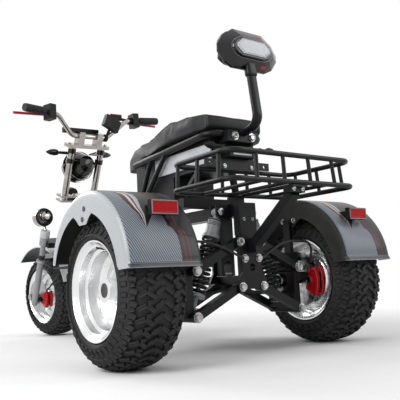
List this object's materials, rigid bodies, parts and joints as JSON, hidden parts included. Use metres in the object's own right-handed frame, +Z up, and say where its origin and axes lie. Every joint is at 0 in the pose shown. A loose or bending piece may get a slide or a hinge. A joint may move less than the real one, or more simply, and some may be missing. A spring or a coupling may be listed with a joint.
{
  "type": "motorized trike",
  "caption": "Motorized trike with a steered front wheel, two fat rear wheels on double arms, a saddle with backrest and a wire basket",
  "frame": {"origin": "on the floor, midway along and across the machine's bounding box", "axes": "+Z up, the front of the machine faces -Y, the rider's left is +X"},
  "size_m": [1.049, 1.953, 1.0652],
  "materials": {
    "frame_black": "satin",
    "fender_grey": "gloss",
    "rim_polished": "polished",
    "tyre_rubber": "matte",
    "disc_steel": "satin",
    "caliper_red": "gloss",
    "plastic_black": "matte",
    "gloss_black": "gloss",
    "seat_cover": "satin",
    "chrome": "polished",
    "fork_grey": "satin",
    "silver_plastic": "satin",
    "red_lens": "gloss",
    "clear_lens": "gloss",
    "grip_rubber": "matte",
    "steel": "satin",
    "deck_plastic": "matte"
  },
  "bodies": {
    "chassis": {"backrest_cushion": "seat_cover", "backrest_insert": "silver_plastic", "backrest_post": "frame_black", "backrest_shell": "gloss_black", "basket_bars": "frame_black", "basket_base": "frame_black", "basket_rim": "frame_black", "basket_strut": "frame_black", "battery_case": "plastic_black", "centre_frame": "frame_black", "cross_plate": "frame_black", "deck_frame": "frame_black", "fender_arms": "frame_black", "floorboard": "deck_plastic", "knuckles": "frame_black", "neck": "frame_black", "rear_cables": "grip_rubber", "rear_calipers": "caliper_red", "rear_fender_left": "fender_grey", "rear_fender_right": "fender_grey", "rear_lamp_bodies": "plastic_black", "seat": "seat_cover", "seat_base": "plastic_black", "seat_box": "plastic_black", "seat_ring": "frame_black", "shock_springs": "frame_black", "shocks": "fork_grey", "side_panels": "silver_plastic", "suspension_arms": "frame_black", "suspension_columns": "frame_black", "tail_lamp_lenses": "red_lens"},
    "steering": {"lower_yoke": "frame_black", "steering_head": "chrome", "handlebar": "chrome", "grips": "grip_rubber", "levers": "caliper_red", "bar_controls": "plastic_black", "instruments": "plastic_black", "headlamp_shell": "gloss_black", "headlamp_lens": "clear_lens", "front_signals": "gloss_black", "spot_lamps": "chrome", "fork_legs": "fork_grey", "front_fender": "fork_grey", "front_axle": "steel", "front_caliper": "caliper_red", "horn": "gloss_black", "front_hose": "grip_rubber"},
    "front_wheel": {"front_tyre": "tyre_rubber", "front_rim": "rim_polished", "front_disc": "disc_steel"},
    "rear_wheel_left": {"rear_tyre_left": "tyre_rubber", "rear_rim_left": "rim_polished", "rear_disc_left": "disc_steel"},
    "rear_wheel_right": {"rear_tyre_right": "tyre_rubber", "rear_rim_right": "rim_polished", "rear_disc_right": "disc_steel"}
  },
  "joints": [
    {"name": "steer", "type": "hinge", "parent": "chassis", "child": "steering", "pos_m": [0, -0.488, 0.671], "axis": [0, 0.4015, 0.9159], "range_deg": [-46.2, 29.8]},
    {"name": "front_wheel_spin", "type": "hinge", "parent": "steering", "child": "front_wheel", "pos_m": [0.01108, -0.77727, 0.20253], "axis": [0.9898, 0.1306, -0.0573], "continuous": true},
    {"name": "rear_wheel_left_spin", "type": "hinge", "parent": "chassis", "child": "rear_wheel_left", "pos_m": [0.41, 0.642, 0.224], "axis": [1, 0, 0], "continuous": true},
    {"name": "rear_wheel_right_spin", "type": "hinge", "parent": "chassis", "child": "rear_wheel_right", "pos_m": [-0.41, 0.642, 0.224], "axis": [1, 0, 0], "continuous": true}
  ]
}
